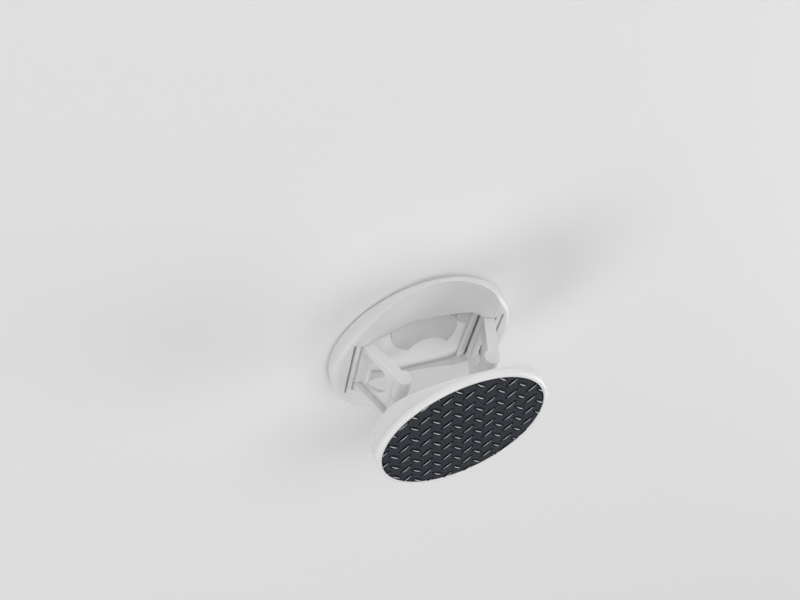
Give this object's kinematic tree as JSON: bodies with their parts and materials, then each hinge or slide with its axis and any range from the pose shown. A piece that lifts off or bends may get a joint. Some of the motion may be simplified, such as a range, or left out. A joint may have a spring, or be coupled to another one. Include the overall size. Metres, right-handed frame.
{
  "type": "folding phone grip",
  "caption": "Round phone grip whose tread-plate top rises from an adhesive base on two pairs of hinged, inward-bent legs.",
  "frame": {"origin": "centre of the round adhesive face that sits on the phone's back", "axes": "+Z away from the adhesive face towards the tread-plate top, X from the left leg pair to the right leg pair, Y along the hinge axes, the way a finger passes through"},
  "size_m": [0.04, 0.04, 0.0236],
  "materials": {
    "white_plastic": "satin",
    "black_tread": "semi-gloss",
    "pad_foam": "matte",
    "pin_steel": "brushed"
  },
  "bodies": {
    "base": {"adhesive_pad": "pad_foam", "base_body": "white_plastic", "left_base_pin": "pin_steel", "right_base_pin": "pin_steel"},
    "left_lower": {"left_base_leg": "white_plastic", "left_knee_pin": "pin_steel"},
    "left_upper": {"left_top_leg": "white_plastic"},
    "top_plate": {"top_carrier": "white_plastic", "top_cap": "white_plastic", "tread_inlay": "black_tread", "left_top_pin": "pin_steel", "right_top_pin": "pin_steel"},
    "right_lower": {"right_base_leg": "white_plastic", "right_knee_pin": "pin_steel"},
    "right_upper": {"right_top_leg": "white_plastic"}
  },
  "joints": [
    {"name": "fold", "type": "hinge", "parent": "base", "child": "left_lower", "pos_m": [-0.0136, 0, 0.0022], "axis": [0, 1, 0], "range_deg": [0, 61.5]},
    {"name": "left_knee", "type": "hinge", "parent": "left_lower", "child": "left_upper", "pos_m": [-0.00975, 0, 0.0125], "axis": [0, 1, 0], "range_deg": [-149.9, 0.5]},
    {"name": "left_top", "type": "hinge", "parent": "left_upper", "child": "top_plate", "pos_m": [-0.0094, 0, 0.01919], "axis": [0, 1, 0], "range_deg": [-0.5, 88.4]},
    {"name": "right_fold", "type": "hinge", "parent": "base", "child": "right_lower", "pos_m": [0.0136, 0, 0.0022], "axis": [0, 1, 0], "range_deg": [-62, 0.5]},
    {"name": "right_knee", "type": "hinge", "parent": "right_lower", "child": "right_upper", "pos_m": [0.00975, 0, 0.0125], "axis": [0, 1, 0], "range_deg": [-0.5, 149.9]}
  ],
  "couplings": [
    {"joint": "left_knee", "follows": "fold", "ratio": -2.429},
    {"joint": "left_top", "follows": "fold", "ratio": 1.429},
    {"joint": "right_fold", "follows": "fold", "ratio": -1},
    {"joint": "right_knee", "follows": "fold", "ratio": 2.429}
  ]
}
